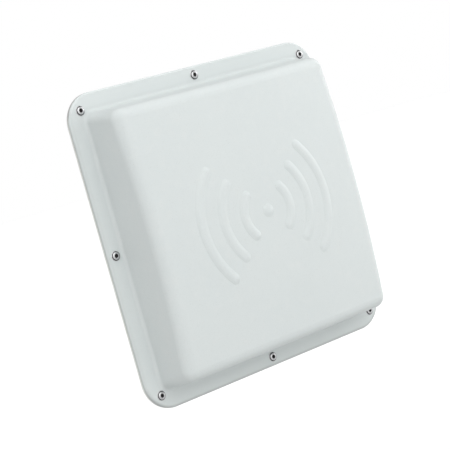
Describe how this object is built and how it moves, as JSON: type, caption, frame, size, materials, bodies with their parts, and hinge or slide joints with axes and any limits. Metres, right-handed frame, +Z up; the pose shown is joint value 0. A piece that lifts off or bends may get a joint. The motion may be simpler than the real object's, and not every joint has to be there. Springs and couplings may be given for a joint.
{
  "type": "panel antenna",
  "caption": "Square flat panel antenna: patch plates on a metal back plate under a riveted white radome, on a tilting bracket that clamps round a mast.",
  "frame": {"origin": "on the mast's axis, level with the panel's centre", "axes": "+Z up along the mast; the radome faces -Y; +X across the panel"},
  "size_m": [0.3048, 0.2048, 0.3048],
  "materials": {
    "radome_plastic": "semi-matte moulded UV-stable plastic",
    "gasket_rubber": "grey closed-cell sealing foam",
    "plate_aluminium": "chromate-passivated sheet with a faint rolled grain",
    "rivet_aluminium": "bright, slightly scuffed",
    "mandrel_steel": "dark broken end",
    "patch_aluminium": "sheet, fine grain",
    "nylon": "natural nylon",
    "post_aluminium": "turned",
    "feed_brass": "rolled strip",
    "nickel_plate": "satin nickel",
    "ptfe": "turned, waxy white",
    "gold_plate": "gold plated",
    "cast_aluminium": "die-cast, tumbled",
    "stainless_steel": "plain stainless"
  },
  "bodies": {
    "mast_mount": {"mast_bracket": "cast_aluminium", "pivot_bolt": "stainless_steel", "lock_bolt": "stainless_steel", "tilt_washers": "stainless_steel", "tilt_nuts": "stainless_steel", "clamp_bolts": "stainless_steel"},
    "panel": {"radome": "radome_plastic", "perimeter_gasket": "gasket_rubber", "back_plate": "plate_aluminium", "flange_rivets": "rivet_aluminium", "rivet_mandrels": "mandrel_steel", "driven_patch": "patch_aluminium", "director_patch": "patch_aluminium", "driven_spacers": "nylon", "director_spacers": "nylon", "patch_screws": "nylon", "patch_nuts": "nylon", "centre_post": "post_aluminium", "centre_post_screw": "stainless_steel", "feed_strip": "feed_brass", "feed_rivet": "feed_brass", "connector_shell": "nickel_plate", "connector_insulator": "ptfe", "connector_contact": "gold_plate", "connector_gasket": "gasket_rubber", "connector_screws": "stainless_steel", "connector_nuts": "stainless_steel", "bracket_studs": "stainless_steel", "stud_washers": "stainless_steel", "stud_nuts": "stainless_steel", "panel_bracket": "cast_aluminium"},
    "jaw": {"clamp_jaw": "cast_aluminium", "clamp_washers": "stainless_steel", "clamp_spring_washers": "stainless_steel", "clamp_nuts": "stainless_steel"}
  },
  "joints": [
    {"name": "tilt", "type": "hinge", "parent": "mast_mount", "child": "panel", "pos_m": [0, -0.058, 0], "axis": [1, 0, 0], "range_deg": [-20, 20]},
    {"name": "jaw_travel", "type": "slide", "parent": "mast_mount", "child": "jaw", "axis": [0, 1, 0], "range_m": [-0.0208, 0.015]}
  ]
}
